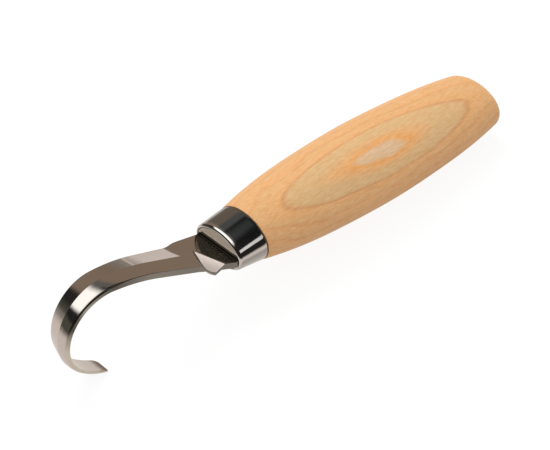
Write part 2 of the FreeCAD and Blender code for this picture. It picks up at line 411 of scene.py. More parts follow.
@dataclass(frozen=True)
class GroundSteel:
    """Polished flat, ground bevel and pressed shoulder of the blade.

    Places along and across the strip are in centimetres, as in the strip map.
    """

    name: str = "ground_steel"
    tint: Colour = (0.60, 0.57, 0.54)
    flat_rough: float = 0.09
    bevel_rough: float = 0.13
    side_rough: float = 0.20
    pressed_rough: float = 0.22
    seam_place: float = 3.22
    seam_slant: float = 0.19
    seam_middle: float = 0.2
    deep_start: float = 0.84
    deep_slant: float = 0.484
    deep_run: float = 0.26
    side_reach: float = 7.0
    rub_scale: Scale = (4.0, 90.0)
    grind_scale: Scale = (60.0, 3.0)
    cloud_scale: float = 2.5
    seam_highlight: Colour = (0.98, 0.92, 0.78)
    bevel_reflection_tint: Colour = (0.50, 0.45, 0.40)
    slot_shade: Colour = (0.03, 0.027, 0.024)
    pressed_highlight_tint: Colour = (0.66, 0.59, 0.55)
    pressed_shade_tint: Colour = (0.33, 0.285, 0.26)

    def make(self) -> bpy.types.Material:
        """Builds the material, which reads the strip map and the region attributes."""
        material, net = own_material(self.name)
        strip = net.node("ShaderNodeUVMap", {"uv_map": "strip"}).outputs[0]
        along, across, _ = net.split(strip)
        bevel = self._mask(net, Region.BEVEL)
        pressed = self._mask(net, Region.PRESSED)
        side = self._mask(net, Region.SIDE)
        rubbed = net.noise(net.join(along * self.rub_scale[0], across * self.rub_scale[1], 0.0), 1.0, 3.0)
        ground = net.noise(net.join(along * self.grind_scale[0], across * self.grind_scale[1], 3.0), 1.0, 3.0)
        struck_along, struck_across = along * 6.0 + across * 12.0, along * 40.0 - across * 60.0
        streaks = net.noise(net.join(struck_along, struck_across, 7.0), 1.0, 2.0)
        cloud = net.noise(net.join(along * self.cloud_scale, across * self.cloud_scale, 1.0), 1.0, 3.0)
        rough = self.flat_rough + (cloud - 0.5) * 0.05 + (rubbed - 0.5) * 0.03
        rough = rough + bevel * (self.bevel_rough - self.flat_rough)
        rough = rough + pressed * (self.pressed_rough - self.flat_rough)
        rough = rough + side * (self.side_rough - self.flat_rough)
        lines = rubbed * (1.0 - bevel) * (1.0 - pressed) + ground * bevel * 1.4 + streaks * pressed * 3.0
        bump = net.bump(0.09, lines)
        shade = (cloud - 0.5) * 0.25 + 0.5
        colour = net.mix(shade.held(), tuple(c * 0.94 for c in self.tint), tuple(c * 1.05 for c in self.tint))
        # Painted highlight and shade: the pressed mark is lightest along its crease and darker deeper in.
        deep = along + across * self.deep_slant - self.deep_start + (streaks - 0.5) * 0.15
        deep = deep.smooth(0.0, self.deep_run)
        struck = net.mix(deep, self.pressed_highlight_tint, self.pressed_shade_tint)
        colour = net.mix(pressed, colour, struck)
        # Painted reflection: the bevel is darker and browner for a stretch past the seam.
        past = along - (across + self.seam_middle) * self.seam_slant - self.seam_place
        colour = net.mix(bevel * past.smooth(-0.02, 0.03) * past.smooth(1.6, 0.4), colour, self.bevel_reflection_tint)
        # Painted highlight: a thin light line along the seam on the bevel.
        seam = past.smooth(-0.07, -0.02) * past.smooth(0.06, 0.01)
        colour = net.mix(bevel * seam, colour, self.seam_highlight)
        # Painted reflections: the spine's narrow side takes light and dark bands along its length.
        colour = net.mix(side, colour, net.ramp(self._side(), (along / self.side_reach).held()))
        # Painted shade: near black where the strip runs into the ferrule's slot and along the tang, with a
        # ragged front.
        ragged = along + (cloud - 0.5) * 0.06
        colour = net.mix(ragged.smooth(0.045, 0.02) * (1.0 - side), colour, self.slot_shade)
        sockets = {"Base Color": colour, "Metallic": 1.0, "Roughness": rough.held(), "Normal": bump}
        net.surface(sockets)
        return material

    @staticmethod
    def _side() -> list[tuple[float, Colour]]:
        """Painted reflection tones of the spine's narrow side, from the root to the hook: light and dark
        bands that stand in for what it mirrors.
        """
        tones = ((0.0, 0.35), (0.45, 0.25), (0.62, 0.11), (0.70, 0.24), (0.76, 0.42))
        tones += ((0.80, 0.13), (0.85, 0.09), (0.89, 0.34), (0.95, 0.60))
        return [(place, (tone, 0.96 * tone, 0.85 * tone)) for place, tone in tones]

    @staticmethod
    def _mask(net: Net, region: Region) -> Value:
        """How far a point belongs to one region of the blade."""
        made = net.node("ShaderNodeAttribute", {"attribute_name": region.value})
        return Value(net, made.outputs["Fac"])


@dataclass(frozen=True)
class PlatedSteel:
    """Bright plating with faint drawing lines on the ferrule."""

    name: str = "plated_steel"
    tint: Colour = (0.66, 0.64, 0.62)
    face_tint: Colour = (0.42, 0.37, 0.31)
    top_reflection_shade: Colour = (0.35, 0.37, 0.38)
    face_half: tuple[float, float] = (9.05, 5.35)
    drawn_scale: Scale = (0.25, 5.0)
    rough: float = 0.07

    def make(self, knife: KnifeFrame) -> bpy.types.Material:
        """Builds the material in the knife's own axes."""
        material, net = own_material(self.name)
        place = net.split(knife_coordinates(net, knife))
        x, y, z = place
        drawn = net.fibre(place, self.drawn_scale, 3.0)
        cloud = net.noise(net.join(x, y, z), 0.35, 3.0)
        inside = ((y / self.face_half[0]) ** 2.0 + (z / self.face_half[1]) ** 2.0).smooth(1.04, 0.98)
        face = inside * x.smooth(-0.30, -0.36)
        rough = self.rough + (cloud - 0.5) * 0.06 + (drawn - 0.5) * 0.03 + face * 0.10
        bump = net.bump(0.04, drawn)
        colour = net.mix(cloud, tuple(c * 0.92 for c in self.tint), self.tint)
        colour = net.mix(face, colour, self.face_tint)
        # Painted reflection: the top of the ferrule behind the lip is a darker grey.
        colour = net.mix(z.smooth(3.6, 5.4) * x.smooth(-1.2, -2.2), colour, self.top_reflection_shade)
        sockets = {"Base Color": colour, "Metallic": 1.0, "Roughness": rough.held(), "Normal": bump}
        net.surface(sockets)
        return material


@dataclass(frozen=True)
class OiledBirch:
    """Oiled birch: growth layers that the barrel cuts into long nested rings."""

    name: str = "oiled_birch"
    heart_x: float = -63.0
    heart_y: float = 7.8
    heart_z: float = 9.7
    lean: float = 68.0
    collar: float = -10.3
    young_depth: float = 3.2
    year_depth: float = 2.6
    sway_scale: Scale = (0.03, 0.12)
    wobble_scale: Scale = (0.10, 0.5)
    grain_scale: Scale = (0.12, 4.5)
    figure_scale: Scale = (0.35, 2.0)
    fleck_scale: Scale = (0.45, 2.6)
    patch_scale: Scale = (0.05, 0.1)
    pale: Colour = (0.73, 0.53, 0.345)
    cream: Colour = (0.68, 0.47, 0.28)
    orange: Colour = (0.78, 0.37, 0.11)
    amber: Colour = (0.745, 0.405, 0.165)
    straw: Colour = (0.665, 0.435, 0.205)
    tawny: Colour = (0.63, 0.315, 0.125)
    brown: Colour = (0.50, 0.28, 0.13)
    dark: Colour = (0.14, 0.07, 0.03)
    shadow: Colour = (0.74, 0.68, 0.62)
    lower_side_shade: Colour = (0.81, 0.80, 0.80)
    rough: float = 0.46

    def make(self, knife: KnifeFrame) -> bpy.types.Material:
        """Builds the material in the knife's own axes."""
        material, net = own_material(self.name)
        place = net.split(knife_coordinates(net, knife))
        x, y, z = place
        sway = net.fibre(place, self.sway_scale, 2.0) - 0.5
        wobble = net.fibre(place, self.wobble_scale, 3.0) - 0.5
        lean = math.radians(self.lean)
        depth = (self.heart_y - y) * math.cos(lean) + (self.heart_z - z) * math.sin(lean)
        ends = ((x - self.heart_x).at_least(0.0) * 0.006).at_most(0.3)
        depth = depth + sway * 0.5 + wobble * 0.30 + ends
        at = (depth / self.young_depth + 0.05).held()
        rings = net.ramp(self._layers(), at)
        later = (depth / self.year_depth + sway * 2.0 + 0.2).part()
        older = net.ramp(self._year(), later)
        colour = net.mix(depth.smooth(2.4, 3.2), rings, older)
        grain = net.fibre(place, self.grain_scale, 4.0, 0.6)
        figure = net.fibre(place, self.figure_scale, 3.0, 0.65)
        flecks = net.fibre(place, self.fleck_scale, 2.0).smooth(0.58, 0.75)
        patch = net.fibre(place, self.patch_scale, 2.0)
        colour = net.mix(((grain - 0.5) * 0.9 + 0.5).held() * 0.3, colour, self.brown, "MULTIPLY")
        colour = net.mix((figure - 0.5).held() * 1.5, colour, self.tawny)
        colour = net.mix((0.5 - figure).held() * 1.3, colour, self.pale)
        colour = net.mix(flecks * 0.40, colour, self.tawny)
        colour = net.mix((figure - 0.44).held() * 1.2, colour, self.shadow, "MULTIPLY")
        # Painted shade: the barrel is darker on its lower side, easing off again at its lowest edge.
        lower = z.smooth(6.5, -1.0) * z.smooth(-9.0, -3.0)
        colour = net.mix(lower, colour, self.lower_side_shade, "MULTIPLY")
        colour = net.mix((patch - 0.5).held() * 0.6, colour, self.amber)
        seat = (x - self.collar + (figure - 0.5) * 0.3).smooth(-0.2, 0.0)
        colour = net.mix(seat, colour, self.dark)
        rough = self.rough + (grain - 0.5) * 0.12
        bump = net.bump(0.12, grain * 0.5 - flecks * 0.5)
        sockets = {
            "Base Color": colour,
            "Roughness": rough.held(),
            "Specular IOR Level": 0.35,
            "Normal": bump,
        }
        net.surface(sockets)
        return material

    def _layers(self) -> list[tuple[float, Colour]]:
        """Colours of the youngest layers, from the outermost one inwards."""
        return [
            (0.0, self.pale),
            (0.10, self.cream),
            (0.135, self.orange),
            (0.19, self.amber),
            (0.32, self.straw),
            (0.60, self.straw),
            (0.70, self.tawny),
            (0.76, self.amber),
        ]

    def _year(self) -> list[tuple[float, Colour]]:
        """Colours of one year's growth in the older layers."""
        late = tuple(0.6 * a + 0.4 * b for a, b in zip(self.amber, self.straw))
        line = tuple(0.5 * (a + b) for a, b in zip(self.amber, self.tawny))
        return [(0.0, self.amber), (0.6, late), (0.87, line), (1.0, self.amber)]


@dataclass(frozen=True)
class SetResin:
    """Dark adhesive that has set with small bubbles."""

    name: str = "set_resin"
    dark: Colour = (0.020, 0.016, 0.012)
    light: Colour = (0.05, 0.04, 0.03)
    rough: float = 0.5

    def make(self, knife: KnifeFrame) -> bpy.types.Material:
        """Builds the material in the knife's own axes."""
        material, net = own_material(self.name)
        place = knife_coordinates(net, knife)
        cloud = net.noise(place, 0.8, 3.0)
        bubbles = net.noise(place, 3.0, 1.0).smooth(0.6, 0.75)
        colour = net.mix(cloud, self.dark, self.light)
        bump = net.bump(0.4, bubbles * -1.0, 2.0 * BUMP_DEPTH)
        rough = self.rough + (cloud - 0.5) * 0.2
        sockets = {"Base Color": colour, "Roughness": rough.held(), "Normal": bump}
        net.surface(sockets)
        return material


def knife_coordinates(net: Net, knife: KnifeFrame) -> bpy.types.NodeSocket:
    """A vector socket that gives the place of a point in the knife's own millimetres."""
    place = net.node("ShaderNodeTexCoord").outputs["Object"]
    sockets = {
        "Vector": place,
        "Location": tuple(knife.lip),
        "Rotation": (0.0, -knife.tilt, 0.0),
        "Scale": (MM, MM, MM),
    }
    return net.node("ShaderNodeMapping", {"vector_type": "TEXTURE"}, sockets).outputs[0]


def tube_faces(rows: int, around: int) -> list[tuple[int, ...]]:
    """Quads between closed loops of points that follow each other.

    Args:
        rows: how many loops there are.
        around: how many points each loop has.

    Returns:
        The faces, with a cap at both ends.
    """
    faces: list[tuple[int, ...]] = []
    for row in range(rows - 1):
        for i in range(around):
            j = (i + 1) % around
            low = row * around
            faces.append((low + i, low + j, low + around + j, low + around + i))
    faces.append(tuple(range(around)))
    faces.append(tuple(range((rows - 1) * around, rows * around)))
    return faces


def solid(name: str, points: Iterable[Point], faces: Iterable[tuple[int, ...]]) -> bpy.types.Object:
    """A linked mesh object with outward faces.

    Args:
        name: the object's name.
        points: the mesh's points.
        faces: the mesh's faces, which close it.

    Returns:
        The object.
    """
    mesh = bpy.data.meshes.new(name)
    mesh.from_pydata(list(points), [], list(faces))
    face_outwards(mesh)
    made = bpy.data.objects.new(name, mesh)
    bpy.context.scene.collection.objects.link(made)
    return made


def rectangle(half: float, low: float, high: float) -> list[tuple[float, float]]:
    """Corners of an upright rectangle, as side and height."""
    return [(-half, low), (half, low), (half, high), (-half, high)]


def face_outwards(mesh: bpy.types.Mesh) -> None:
    """Merges doubles and turns every face outwards."""
    work = bmesh.new()
    work.from_mesh(mesh)
    bmesh.ops.remove_doubles(work, verts=work.verts, dist=1e-5)
    bmesh.ops.recalc_face_normals(work, faces=work.faces)
    work.to_mesh(mesh)
    work.free()


def carve(base: bpy.types.Object, tools: Sequence[tuple[bpy.types.Object, str]]) -> bpy.types.Mesh:
    """Joins and cuts a piece with other solids.

    Args:
        base: the piece to start from, with its own modifiers.
        tools: the other solids, each with UNION or DIFFERENCE; they are removed.

    Returns:
        The finished mesh.
    """
    for tool, how in tools:
        cut = base.modifiers.new(how, "BOOLEAN")
        cut.operation = how
        cut.solver = "EXACT"
        cut.object = tool
    graph = bpy.context.evaluated_depsgraph_get()
    mesh = bpy.data.meshes.new_from_object(base.evaluated_get(graph))
    base.modifiers.clear()
    for tool, _ in tools:
        bpy.data.objects.remove(tool)
    return mesh


def finish_piece(piece: bpy.types.Object, knife: KnifeFrame, sharp: float) -> None:
    """Sets a piece's place, its smooth shading and what it rides on.

    Args:
        piece: the object, whose mesh is in the knife's millimetres.
        knife: the knife's frame.
        sharp: edges that turn by more than this angle in degrees stay sharp.
    """
    piece.data.transform(knife.matrix)
    piece.data.shade_smooth()
    piece.data.set_sharp_from_angle(angle=math.radians(sharp))
    piece.data.update()
    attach(piece, "root")


@dataclass
class Blade:
    """Steel strip, ground on its far edge and bent into a hook, with its root and tang."""

    thickness: float = 2.0
    tang_top: float = 0.3
    slope: float = math.radians(21.1)
    bend_reach: float = 0.86
    bend_round: float = 0.75
    neck_run: float = 28.0
    sweep_radius: float = 56.0
    sweep_angle: float = 16.0
    hook_radius: float = 13.9
    hook_angle: float = 138.0
    tip_radius: float = 28.0
    tip_angle: float = 23.5
    neck_width: float = 16.3
    end_width: float = 6.0
    tip_corner: float = 2.2
    tip_corner_side: float = 1.8
    tip_thickness: float = 0.8
    ridge_side: float = 0.7
    edge_land: float = 0.12
    root_width: float = 17.6
    corner_reach: float = 7.9
    corner_side: float = 8.2
    near_taper_reach: float = 13.0
    far_corner_reach: float = 10.6
    far_corner_side: float = -6.8
    run_out_reach: float = 13.6
    ridge_reach: float = 14.5
    press_point: Point = (8.7, -1.25, 0.0)
    press_rear: Point = (4.3, 8.5, 0.0)
    press_front: Point = (12.5, 7.6, 0.0)
    press_ear: Point = (7.85, 8.3, 0.35)
    press_metal: float = 0.93
    lump_back: float = 0.36
    crease: float = 0.14
    valley: float = 0.3
    front_bow: float = 1.1
    crown_start: float = 38.0
    crown_width: float = 3.4
    crown_drop: float = 0.48
    bevel_soft: float = 0.7
    corner_round: float = 0.14
    spine_round: float = 0.85
    spine_round_start: float = 36.0
    tang_width: float = 12.0
    tang_end_width: float = 8.0
    tang_back: float = -46.0
    root_back: float = -1.4
    root_end: float = 17.6
    ridge_gap: float = 0.06
    flat_points: int = 34
    bevel_points: int = 38
    under_points: int = 36

    def __post_init__(self) -> None:
        """Works out the lengths of the bends."""
        pairs = (
            (self.sweep_radius, self.sweep_angle),
            (self.hook_radius, self.hook_angle),
            (self.tip_radius, self.tip_angle),
        )
        self.bends = [(radius, math.radians(angle)) for radius, angle in pairs]
        self.hook_start = self.neck_run + self.bends[0][0] * self.bends[0][1]
        self.length = self.neck_run + sum(radius * angle for radius, angle in self.bends)
        point, rear, front = (self.on_neck(*p) for p in (self.press_point, self.press_rear, self.press_front))
        ear = self.on_neck(*self.press_ear, on_face=False)
        self.press_walls = (self.plane(point, rear, ear), self.plane(point, front, ear))
        corner = self.on_neck(self.far_corner_reach, self.far_corner_side)
        ridge = self.on_neck(self.ridge_reach, self.ridge_side)
        down = (self.run_out_reach - self.bend_reach) / math.cos(self.slope)
        foot = Vector((down, -self.taper(down) / 2.0, self.edge_land))
        self.run_out = self.plane(corner, ridge, foot)

    def on_neck(self, x: float, y: float, z: float = 0.0, on_face: bool = True) -> Vector:
        """A point in the knife's axes as one along, across and above the neck's inner face.

        Args:
            x: the point's X.
            y: the point's Y.
            z: the point's Z, where it isn't on the upper face.
            on_face: whether the point is on the upper face.

        Returns:
            Distance along, side and height.
        """
        ahead = x - self.bend_reach
        if on_face:
            z = self.tang_top + (ahead + self.thickness * math.tan(self.slope / 2.0)) * math.tan(self.slope)
        rise = z - self.tang_top + self.thickness
        lean, level = math.sin(self.slope), math.cos(self.slope)
        return Vector((ahead * level + rise * lean, y, rise * level - ahead * lean))

    @staticmethod
    def plane(one: Vector, two: Vector, three: Vector) -> tuple[float, float, float]:
        """A plane through three points as height = a + b * along + c * side."""
        normal = (two - one).cross(three - one)
        b, c = -normal.x / normal.z, -normal.y / normal.z
        return one.z - b * one.x - c * one.y, b, c

    def station(self, s: float) -> tuple[float, float, float]:
        """Place and heading of the strip's inner face.

        Args:
            s: distance along it from the bend at the root; negative in the slot.

        Returns:
            X, Z and the heading above the handle's axis.
        """
        bottom = self.tang_top - self.thickness
        if s <= -self.bend_round:
            return self.bend_reach + s, bottom, 0.0
        if s < self.bend_round:
            share = (s + self.bend_round) / (2.0 * self.bend_round)
            ahead = share * share * self.bend_round
            back = (1.0 - share) * (1.0 - share) * self.bend_round
            x = self.bend_reach - back + ahead * math.cos(self.slope)
            rise = math.atan2(share * math.sin(self.slope), 1.0 - share + share * math.cos(self.slope))
            return x, bottom + ahead * math.sin(self.slope), rise
        x = self.bend_reach + min(s, self.neck_run) * math.cos(self.slope)
        z = bottom + min(s, self.neck_run) * math.sin(self.slope)
        heading = self.slope
        left = s - self.neck_run
        for radius, angle in self.bends:
            if left <= 0.0:
                break
            after = heading - min(left / radius, angle)
            x += radius * (math.sin(heading) - math.sin(after))
            z -= radius * (math.cos(heading) - math.cos(after))
            heading = after
            left -= radius * angle
        return x, z, heading

    def taper(self, s: float) -> float:
        """Width of the strip before its ends are shaped."""
        return blend(self.neck_width, self.end_width, s / self.length)

    def sides(self, s: float) -> tuple[float, float]:
        """Y of the cutting edge and of the spine at one place along the strip."""
        into_tip = clamp((s - self.length + self.tip_corner) / self.tip_corner)
        edge = self.tip_corner_side * (1.0 - math.sqrt(1.0 - into_tip**2)) - self.taper(s) / 2.0
        x = self.bend_reach + s * math.cos(self.slope) - self.thickness * math.sin(self.slope) / 2.0
        half = self.root_width / 2.0
        taper = self.taper(self.near_taper_reach) / 2.0
        near = [(0.0, half), (self.corner_reach, self.corner_side), (self.near_taper_reach, taper)]
        far = [(0.0, -half), (self.far_corner_reach, self.far_corner_side), (self.run_out_reach, edge)]
        spine = between(near, x) if x < self.near_taper_reach else self.taper(s) / 2.0
        if x < self.run_out_reach:
            edge = between(far, x)
        if s < self.root_back - self.bend_reach - 0.01:
            back = (s + self.bend_reach - self.root_back) / (self.tang_back - self.root_back)
            half = blend(self.tang_width, self.tang_end_width, back) / 2.0
            return -half, half
        return edge, spine

    def full(self, s: float) -> float:
        """Full thickness up to the hook, then thinner towards the tip."""
        into = max(0.0, (s - self.hook_start) / (self.length - self.hook_start))
        return self.thickness - (self.thickness - self.tip_thickness) * into**2

    def ridge(self, s: float) -> float:
        """Y of the line between the flat and the bevel."""
        edge, spine = self.sides(s)
        width = self.taper(s)
        return edge + (spine - edge) * (self.ridge_side + width / 2.0) / width

    def press(self, s: float, y: float) -> float:
        """Height of the press mark's two walls above the inner face.

        Args:
            s: distance along the strip.
            y: distance across it.

        Returns:
            The height, or one well above the metal on the far side.
        """
        if y < self.press_point[1] - 1.0:
            return self.root_width
        rear, front = (a + b * s + c * y for a, b, c in self.press_walls)
        out = clamp((y - self.press_point[1]) / (self.press_ear[1] - self.press_point[1]))
        front = self.thickness + (front - self.thickness) * (1.0 + self.front_bow * 4.0 * out * (1.0 - out))
        return -soft_min(-rear, -front, self.valley)

    def top(self, s: float, y: float) -> tuple[float, float, float]:
        """Height of the upper skin, and how far it is bevel and pressed metal.

        Args:
            s: distance along the strip.
            y: distance across it.

        Returns:
            Height above the inner face, share of bevel and share of pressed metal.
        """
        edge, spine = self.sides(s)
        ridge = self.ridge(s)
        full = self.full(s)
        width = min(self.crown_width, 0.8 * (spine - ridge))
        crown = clamp((y - spine + width) / width) ** 2 * ease((s - self.crown_start) / 12.0)
        height, bevel = full - self.crown_drop * full / self.thickness * crown, 0.0
        if y < ridge:
            slant = blend(full, self.edge_land, clamp((ridge - y) / (ridge - edge)))
            a, b, c = self.run_out
            soft = self.bevel_soft * clamp((ridge - y) / 4.0) + 0.001
            run_out = soft_min(a + b * s + c * y, full, soft)
            if run_out > slant - soft and s < self.run_out_reach + 6.0:
                height = -soft_min(-run_out, -slant, soft)
                bevel = 1.0 - ease((run_out - slant) / soft)
            else:
                height, bevel = slant, 1.0
        low = self.press(s, y)
        pressed = ease((height - low) / self.crease + 0.5)
        return soft_min(height, low, self.crease), bevel, pressed

    def bottom(self, s: float, y: float) -> float:
        """Height of the lower skin: flat but for the lump under the press mark."""
        return soft_min(0.0, self.press(s + self.lump_back, y) - self.press_metal, self.crease)

    def loop(self, s: float, inset: float = 0.0) -> list[tuple[float, float, dict[Region, float]]]:
        """Closed section of the blade.

        Args:
            s: distance along the strip.
            inset: how much smaller the section is all round.

        Returns:
            Points as Y, height above the inner face and shares of each region.
        """
        edge, spine = self.sides(s)
        ridge = self.ridge(s)
        at_edge = self.top(s, edge)[0] - self.bottom(s, edge)
        edge_round = min(self.corner_round, 0.45 * at_edge)
        at_spine = self.top(s, spine - 0.2)[0] - self.bottom(s, spine - 0.2)
        into = ease((s - self.spine_round_start) / 12.0)
        upper = min(blend(self.corner_round, self.spine_round, into), 0.6 * at_spine)
        lower = min(blend(self.corner_round, 0.3 * self.spine_round, into), 0.3 * at_spine)
        near, far = spine - upper, edge + edge_round
        flat, bevel_side = self.flat_points, self.bevel_points
        near_top = [blend(near, ridge + self.ridge_gap, i / flat) for i in range(flat + 1)]
        far_top = [blend(ridge - self.ridge_gap, far, i / bevel_side) for i in range(bevel_side + 1)]
        points: list[tuple[float, float, dict[Region, float]]] = []
        for i in range(self.under_points + 1):
            y = blend(far, near, i / self.under_points)
            points.append((y, self.bottom(s, y) + inset, {}))
        near_sides = (self.bottom(s, near), self.top(s, near)[0])
        points += self._corner(near, near_sides, (lower, upper), 1.0, inset)
        for y in near_top + [ridge] + far_top:
            height, bevel, pressed = self.top(s, y)
            points.append((y, height - inset, {Region.BEVEL: bevel, Region.PRESSED: pressed}))
        far_sides = (self.bottom(s, far), self.top(s, far)[0])
        points += self._corner(far, far_sides, (edge_round, edge_round), -1.0, inset)
        return points

    @staticmethod
    def _corner(
        y: float, heights: tuple[float, float], rounds: tuple[float, float], side: float, inset: float
    ) -> list[tuple[float, float, dict[Region, float]]]:
        """Rounded side of a section, from the lower skin to the upper one or back.

        Args:
            y: where the upper rounding starts.
            heights: heights of the lower and the upper skin there.
            rounds: radii of the lower and the upper corner.
            side: 1 for the spine, which goes up, and -1 for the edge, which goes down.
            inset: how much smaller the section is.

        Returns:
            Points as in a section.
        """
        points = []
        for upper, angles in ((False, (-90, -72, -54, -36, -18, 0)), (True, (0, 15, 30, 45, 60, 75))):
            rounding = rounds[upper]
            centre = heights[1] - rounding if upper else heights[0] + rounding
            for angle in angles:
                turn = math.radians(angle)
                out = y + side * (rounds[1] - rounding + rounding * math.cos(turn) - inset)
                share = clamp(1.6 * math.cos(turn)) if upper else 1.0
                points.append((out, centre + rounding * math.sin(turn), {Region.SIDE: share}))
        return points if side > 0.0 else points[::-1]

    def rows(self) -> list[float]:
        """Places along the strip where sections are made."""
        slot = self.root_back - self.bend_reach
        tang = self.tang_back - self.bend_reach
        hook_end = self.hook_start + self.bends[1][0] * self.bends[1][1]
        tip = self.length - self.tip_corner
        places = steps(tang, slot - 0.05, 12.0) + [slot - 0.05]
        places += steps(slot, -self.bend_round, 0.4)
        places += steps(-self.bend_round, self.bend_round, 0.15)
        places += steps(self.bend_round, self.root_end, 0.12)
        places += steps(self.root_end, self.hook_start, 0.4)
        places += steps(self.hook_start, hook_end, 0.25)
        places += steps(hook_end, tip, 0.25)
        places += [tip + self.tip_corner * math.sin(math.radians(5.0 * i)) for i in range(17)]
        return places + [self.length - 0.004]

    def build(self, knife: KnifeFrame, steel: bpy.types.Material) -> bpy.types.Object:
        """Makes the blade's mesh, with its strip map and region attributes.

        Args:
            knife: the knife's frame.
            steel: the blade's material.

        Returns:
            The blade.
        """
        sections = [(s, self.loop(s)) for s in self.rows()]
        sections.append((self.length, self.loop(self.length, 0.06)))
        points: list[Point] = []
        marks: list[tuple[float, float]] = []
        shares: dict[Region, list[float]] = {r: [] for r in (Region.BEVEL, Region.PRESSED, Region.SIDE)}
        for s, section in sections:
            x, z, heading = self.station(s)
            for y, up, regions in section:
                points.append((x - up * math.sin(heading), y, z + up * math.cos(heading)))
                marks.append((s, y + up))
                for region, values in shares.items():
                    values.append(regions.get(region, 0.0))
        mesh = bpy.data.meshes.new("blade_skin")
        mesh.from_pydata(points, [], tube_faces(len(sections), len(sections[0][1])))
        for region, values in shares.items():
            mesh.attributes.new(region.value, "FLOAT", "POINT").data.foreach_set("value", values)
        strip = mesh.uv_layers.new(name="strip")
        for corner, loop in zip(strip.data, mesh.loops):
            s, across = marks[loop.vertex_index]
            corner.uv = (s / 10.0, across / 10.0)
        face_outwards(mesh)
        mesh.materials.append(steel)
        piece = bpy.data.objects.new("blade_steel_strip", mesh)
        bpy.context.scene.collection.objects.link(piece)
        finish_piece(piece, knife, 50.0)
        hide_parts("blade")
        return piece


@dataclass
class Ferrule:
    """Drawn oval cup with a rounded lip and a slotted face set back inside it."""

    length: float = 10.0
    rear_width: float = 21.2
    rear_depth: float = 15.6
    front_width: float = 19.9
    front_depth: float = 12.5
    wall: float = 0.8
    front_wall: float = 1.0
    lip_radius: float = 1.1
    lip_height: float = 0.4
    lip_band: float = 1.0
    rim_round: float = 0.12
    lip_inside: tuple[tuple[float, float], ...] = ((-0.17, 0.79), (-0.105, 0.73))
    slot_low: float = -2.0
    slot_high: float = 0.6
    slot_width: float = 17.9
    around: int = 192

    def profile(self) -> list[tuple[float, float, float]]:
        """Half section of the cup.

        Returns:
            X, inset from the outer wall and share of the oval that is left, from the middle
            of the face round the outside to the middle of the inner face.
        """
        face, back = -self.lip_height, -self.lip_height - self.front_wall
        rows = [(face, self.lip_band + 0.12, share) for share in (0.0, 0.25, 0.5, 0.75, 0.95, 1.0)]
        rows += [(face + 0.02, self.lip_band + 0.04, 1.0), (face + 0.09, self.lip_band - 0.05, 1.0)]
        rows += [(x, inset, 1.0) for x, inset in self.lip_inside]
        for angle in range(64, -1, -4):
            turn = math.radians(angle)
            x = self.lip_radius * (math.sin(turn) - 1.0)
            rows.append((x, self.lip_radius * (1.0 - math.cos(turn)), 1.0))
        rows += [(x, 0.0, 1.0) for x in steps(-self.lip_radius - 0.5, -self.length + self.rim_round, 0.5)]
        for angle in (0, 30, 60, 90):
            turn = math.radians(angle)
            x = -self.length + self.rim_round * (1.0 - math.sin(turn))
            rows.append((x, self.rim_round * (1.0 - math.cos(turn)), 1.0))
        rows += [(-self.length, self.wall, 1.0), (back - 0.4, self.wall, 1.0), (back, self.wall + 0.4, 1.0)]
        return rows + [(back, self.wall + 0.4, share) for share in (0.6, 0.3, 0.0)]

    def oval(self, x: float) -> tuple[float, float]:
        """Half width and half depth of the outer wall."""
        back = -x / self.length
        width = blend(self.front_width, self.rear_width, back)
        return width / 2.0, blend(self.front_depth, self.rear_depth, back) / 2.0

    def build(self, knife: KnifeFrame, plating: bpy.types.Material) -> bpy.types.Object:
        """Makes the cup and cuts the blade's slot through its face.

        Args:
            knife: the knife's frame.
            plating: the ferrule's material.

        Returns:
            The ferrule.
        """
        rows = self.profile()
        points: list[Point] = []
        for x, inset, share in rows:
            width, depth = self.oval(x)
            for i in range(self.around):
                turn = math.tau * i / self.around
                y = (width - inset) * share * math.cos(turn)
                points.append((x, y, (depth - inset) * share * math.sin(turn)))
        faces = tube_faces(len(rows), self.around)[:-2]
        cup = solid("ferrule_cup", points, faces)
        cup.data.materials.append(plating)
        corners = rectangle(self.slot_width / 2.0, self.slot_low, self.slot_high)
        ends = (self.wall, -self.lip_height - self.front_wall - self.wall)
        block = [(x, y, z) for x in ends for y, z in corners]
        tool = solid("ferrule_slot", block, tube_faces(2, 4))
        tool.data.materials.append(plating)
        cup.data = carve(cup, [(tool, "DIFFERENCE")])
        finish_piece(cup, knife, 35.0)
        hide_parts("ferrule")
        return cup


